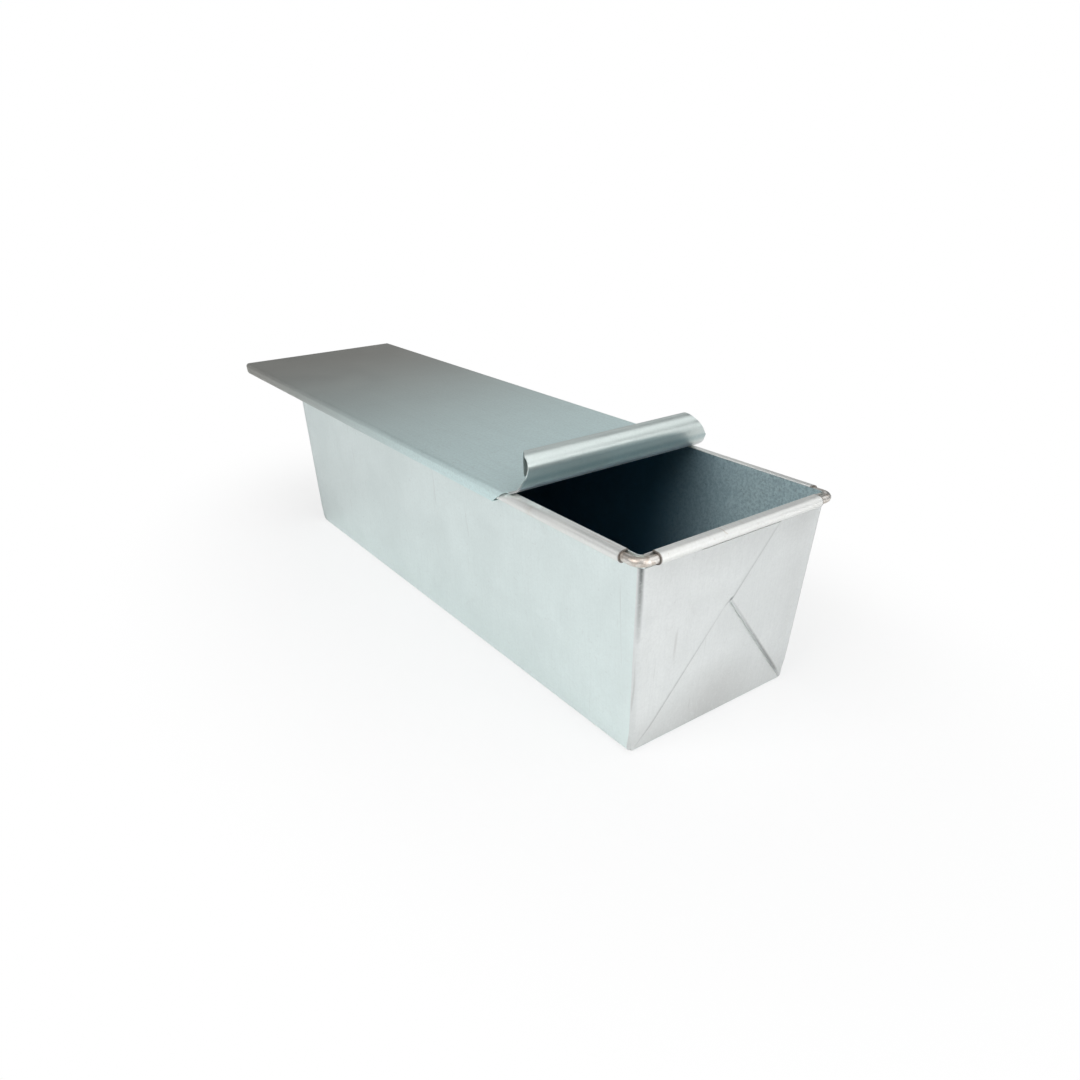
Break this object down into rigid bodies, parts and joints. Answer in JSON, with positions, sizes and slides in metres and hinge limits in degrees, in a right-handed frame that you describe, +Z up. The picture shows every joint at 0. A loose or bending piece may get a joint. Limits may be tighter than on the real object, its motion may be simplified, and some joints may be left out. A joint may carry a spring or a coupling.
{
  "type": "pullman loaf pan",
  "caption": "Long straight-sided loaf pan folded from galvanised sheet, with a wired rim and a flat lid that slides on it and has a rolled handle.",
  "frame": {"origin": "centre of the base, on the surface that the pan stands on", "axes": "+X along the pan towards the end that the lid uncovers and where the rolled handle is, +Y across the pan, +Z up"},
  "size_m": [0.4327, 0.1256, 0.1207],
  "materials": {
    "pan_sheet": "galvanised, satin",
    "rim_sheet": "galvanised, satin",
    "rim_wire": "drawn wire, semi-bright",
    "lid_sheet": "galvanised, matt"
  },
  "bodies": {
    "pan": {"base_panel": "pan_sheet", "wall_left": "pan_sheet", "wall_right": "pan_sheet", "wall_front": "pan_sheet", "wall_rear": "pan_sheet", "front_ear_under": "pan_sheet", "front_ear_over": "pan_sheet", "rear_ear_under": "pan_sheet", "rear_ear_over": "pan_sheet", "rolled_edge_left": "rim_sheet", "rolled_edge_right": "rim_sheet", "rolled_edge_front": "rim_sheet", "rolled_edge_rear": "rim_sheet", "rim_wire": "rim_wire"},
    "lid": {"lid_panel": "lid_sheet", "lid_rail_left": "lid_sheet", "lid_rail_right": "lid_sheet", "lid_lip_left": "lid_sheet", "lid_lip_right": "lid_sheet", "lid_curl_handle": "lid_sheet"}
  },
  "joints": [
    {"name": "lid_slide", "type": "slide", "parent": "pan", "child": "lid", "axis": [1, 0, 0], "range_m": [-0.27, 0.435]}
  ]
}
